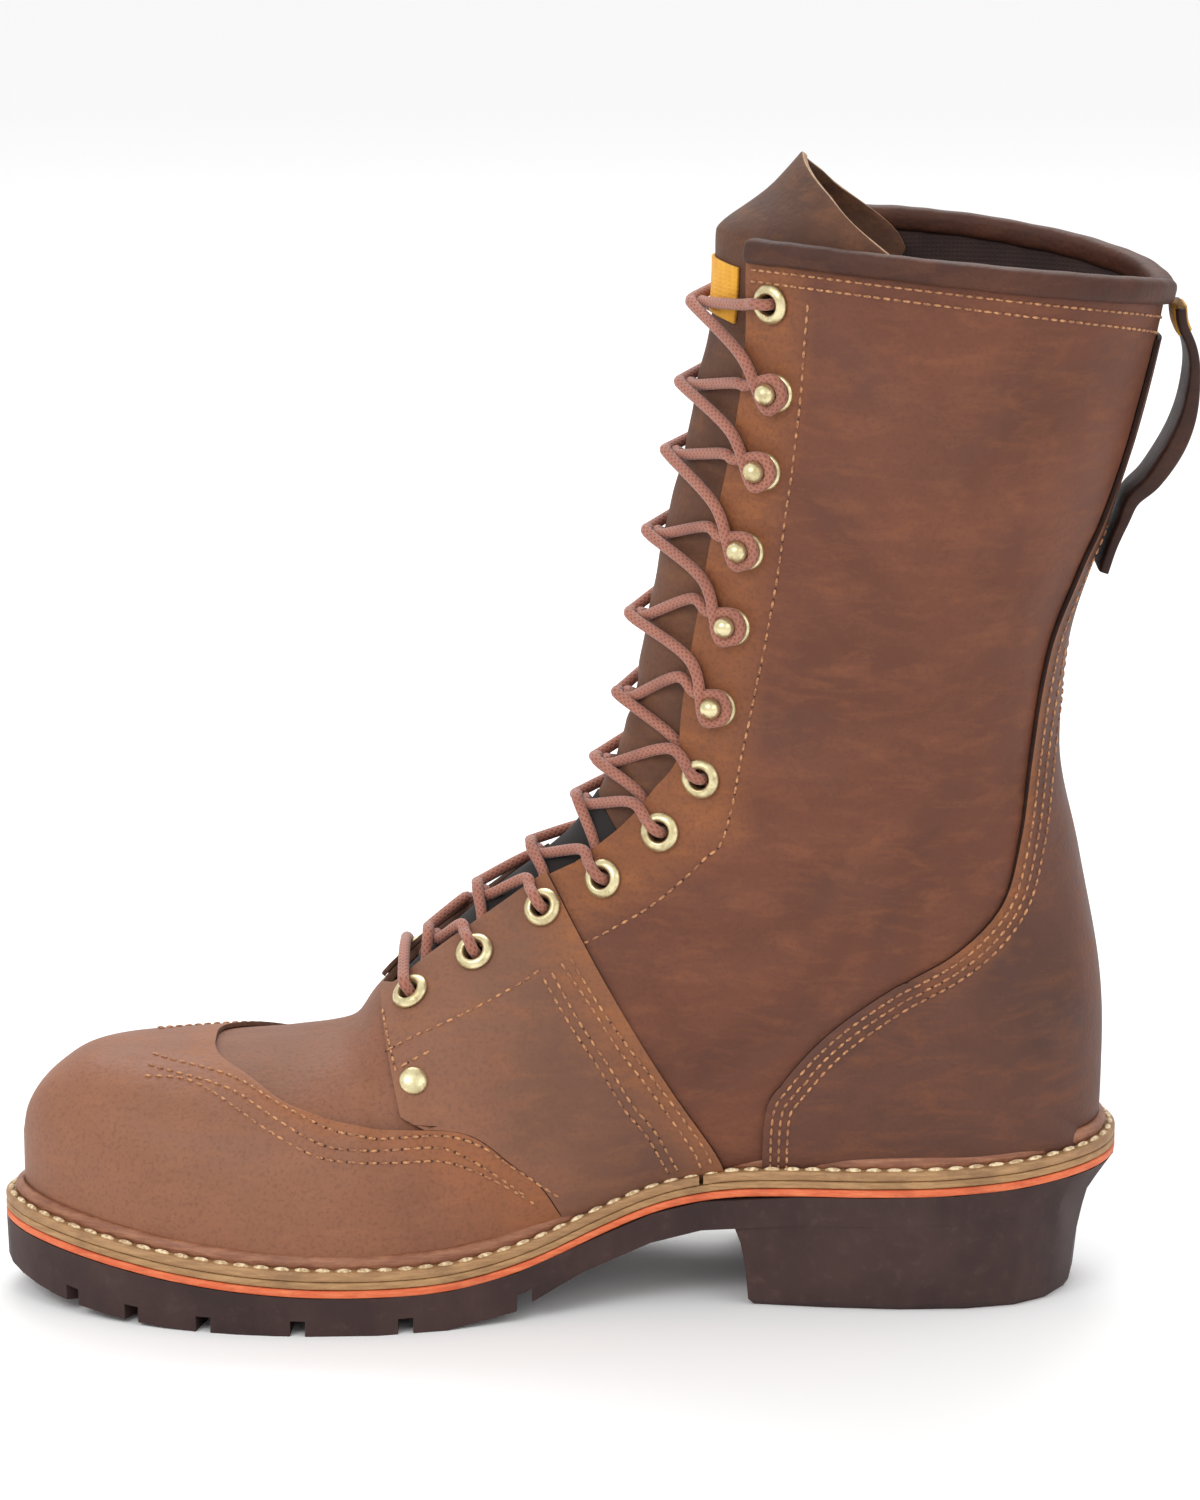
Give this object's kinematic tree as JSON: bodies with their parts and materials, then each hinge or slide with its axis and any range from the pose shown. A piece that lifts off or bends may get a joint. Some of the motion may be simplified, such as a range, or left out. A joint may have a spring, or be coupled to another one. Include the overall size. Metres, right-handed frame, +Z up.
{
  "type": "lineman boot",
  "caption": "Tall laced leather work boot for the right foot, with speed hooks up the shaft, a welted lug sole and a logger heel.",
  "frame": {"origin": "on the ground under the middle of the heel, in the boot's middle plane", "axes": "+X points to the toe, +Y to the inner side of the foot, +Z up"},
  "size_m": [0.3339, 0.1164, 0.3174],
  "materials": {
    "rubber": "matte moulded rubber",
    "orange_layer": "thin coloured layer, matte",
    "sole_leather": "trimmed edge, waxed",
    "welt_leather": "waxed welt leather",
    "insole_leather": "worn insole leather",
    "lace_cord": "braided cord, matte",
    "antique_brass": "antique nickel-brass, satin",
    "trim_leather": "dark oiled leather",
    "oiled_leather": "oiled, lightly scuffed"
  },
  "bodies": {
    "root": {"outsole": "rubber", "slip_sole": "orange_layer", "midsole": "sole_leather", "welt_forepart": "welt_leather", "welt_heel": "welt_leather", "upper": "oiled_leather", "toe_cap": "oiled_leather", "quarter_inner": "oiled_leather", "quarter_outer": "oiled_leather", "counter": "oiled_leather", "collar_binding": "trim_leather", "tongue": "oiled_leather", "insole": "insole_leather", "pull_loop": "trim_leather", "eyelet_inner_1": "antique_brass", "eyelet_outer_1": "antique_brass", "eyelet_inner_2": "antique_brass", "eyelet_outer_2": "antique_brass", "eyelet_inner_3": "antique_brass", "eyelet_outer_3": "antique_brass", "eyelet_inner_4": "antique_brass", "eyelet_outer_4": "antique_brass", "eyelet_inner_5": "antique_brass", "eyelet_outer_5": "antique_brass", "eyelet_inner_6": "antique_brass", "eyelet_outer_6": "antique_brass", "hook_inner_7": "antique_brass", "hook_outer_7": "antique_brass", "hook_inner_8": "antique_brass", "hook_outer_8": "antique_brass", "hook_inner_9": "antique_brass", "hook_outer_9": "antique_brass", "hook_inner_10": "antique_brass", "hook_outer_10": "antique_brass", "hook_inner_11": "antique_brass", "hook_outer_11": "antique_brass", "eyelet_inner_12": "antique_brass", "eyelet_outer_12": "antique_brass", "rivet_inner": "antique_brass", "rivet_outer": "antique_brass", "lace_crossing_1": "lace_cord", "lace_crossing_2": "lace_cord", "lace_crossing_3": "lace_cord", "lace_crossing_4": "lace_cord", "lace_crossing_5": "lace_cord", "lace_crossing_6": "lace_cord", "lace_crossing_7": "lace_cord", "lace_crossing_8": "lace_cord", "lace_crossing_9": "lace_cord", "lace_crossing_10": "lace_cord", "lace_crossing_11": "lace_cord"}
  },
  "joints": []
}
